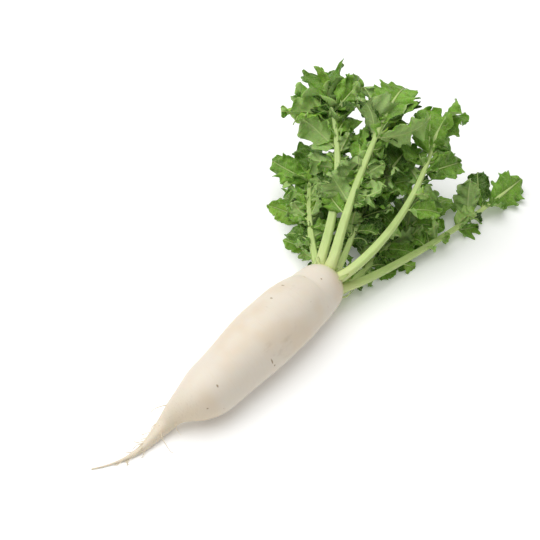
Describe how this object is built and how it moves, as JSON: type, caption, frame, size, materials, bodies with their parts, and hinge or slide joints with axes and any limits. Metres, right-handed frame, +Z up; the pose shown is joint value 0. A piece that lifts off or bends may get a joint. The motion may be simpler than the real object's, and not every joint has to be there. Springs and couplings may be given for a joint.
{
  "type": "daikon radish",
  "caption": "Long white daikon radish lying on its side, with a thin curved tail root and a full tuft of green leaves.",
  "frame": {"origin": "on the surface the plant lies on, under the middle of its overall box", "axes": "+X from the tail towards the leaves, along the longest extent; +Z up"},
  "size_m": [0.6036, 0.2392, 0.1657],
  "materials": {
    "root_skin": "smooth moist cream-white root skin with a soft sheen",
    "leaf_stalk": "ribbed pale green leaf stalk, semi-gloss",
    "leaf_blade": "toothed, veined green leaf, soft satin"
  },
  "bodies": {
    "root": {"leaf_1_end_blade": "leaf_blade", "leaf_1_leaflet_1": "leaf_blade", "leaf_1_leaflet_2": "leaf_blade", "leaf_1_leaflet_3": "leaf_blade", "leaf_1_leaflet_4": "leaf_blade", "leaf_1_stalk": "leaf_stalk", "leaf_2_end_blade": "leaf_blade", "leaf_2_leaflet_1": "leaf_blade", "leaf_2_leaflet_2": "leaf_blade", "leaf_2_leaflet_3": "leaf_blade", "leaf_2_leaflet_4": "leaf_blade", "leaf_2_leaflet_5": "leaf_blade", "leaf_2_stalk": "leaf_stalk", "leaf_3_end_blade": "leaf_blade", "leaf_3_leaflet_1": "leaf_blade", "leaf_3_leaflet_2": "leaf_blade", "leaf_3_leaflet_3": "leaf_blade", "leaf_3_stalk": "leaf_stalk", "leaf_4_end_blade": "leaf_blade", "leaf_4_leaflet_1": "leaf_blade", "leaf_4_leaflet_2": "leaf_blade", "leaf_4_leaflet_3": "leaf_blade", "leaf_4_leaflet_4": "leaf_blade", "leaf_4_stalk": "leaf_stalk", "leaf_5_end_blade": "leaf_blade", "leaf_5_leaflet_1": "leaf_blade", "leaf_5_leaflet_2": "leaf_blade", "leaf_5_leaflet_3": "leaf_blade", "leaf_5_leaflet_4": "leaf_blade", "leaf_5_leaflet_5": "leaf_blade", "leaf_5_stalk": "leaf_stalk", "leaf_6_end_blade": "leaf_blade", "leaf_6_leaflet_1": "leaf_blade", "leaf_6_leaflet_2": "leaf_blade", "leaf_6_leaflet_3": "leaf_blade", "leaf_6_leaflet_4": "leaf_blade", "leaf_6_leaflet_5": "leaf_blade", "leaf_6_stalk": "leaf_stalk", "leaf_7_end_blade": "leaf_blade", "leaf_7_leaflet_1": "leaf_blade", "leaf_7_leaflet_2": "leaf_blade", "leaf_7_leaflet_3": "leaf_blade", "leaf_7_leaflet_4": "leaf_blade", "leaf_7_stalk": "leaf_stalk", "leaf_8_end_blade": "leaf_blade", "leaf_8_leaflet_1": "leaf_blade", "leaf_8_leaflet_2": "leaf_blade", "leaf_8_leaflet_3": "leaf_blade", "leaf_8_leaflet_4": "leaf_blade", "leaf_8_stalk": "leaf_stalk", "leaf_9_end_blade": "leaf_blade", "leaf_9_leaflet_1": "leaf_blade", "leaf_9_leaflet_2": "leaf_blade", "leaf_9_leaflet_3": "leaf_blade", "leaf_9_leaflet_4": "leaf_blade", "leaf_9_stalk": "leaf_stalk", "root": "root_skin"}
  },
  "joints": []
}
